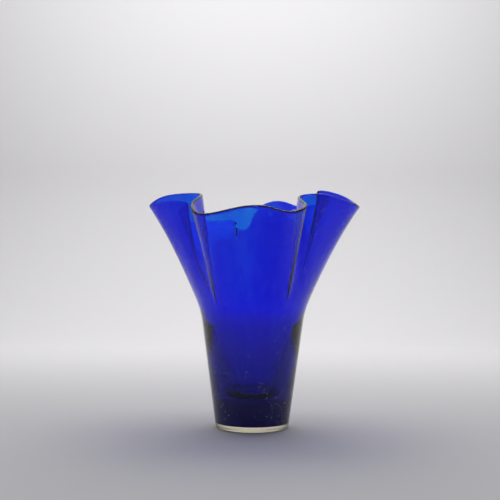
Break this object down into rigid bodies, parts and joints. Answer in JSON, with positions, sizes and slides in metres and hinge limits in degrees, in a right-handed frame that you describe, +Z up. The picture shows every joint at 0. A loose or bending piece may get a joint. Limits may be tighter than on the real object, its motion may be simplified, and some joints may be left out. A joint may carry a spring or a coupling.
{
  "type": "vase",
  "caption": "Blown cobalt-blue glass vase: a heavy round foot and tapered body opening into a flared, folded, ruffled rim, for cut flowers.",
  "frame": {"origin": "centre of the foot's flat underside, where the vase meets the table", "axes": "+Z up along the body's axis, -Y towards the front as pictured, +X to the right seen from there"},
  "size_m": [0.2227, 0.2427, 0.2541],
  "materials": {
    "cobalt_glass": "fire-polished, glossy, transparent deep blue"
  },
  "bodies": {
    "root": {"vase": "cobalt_glass"}
  },
  "joints": []
}
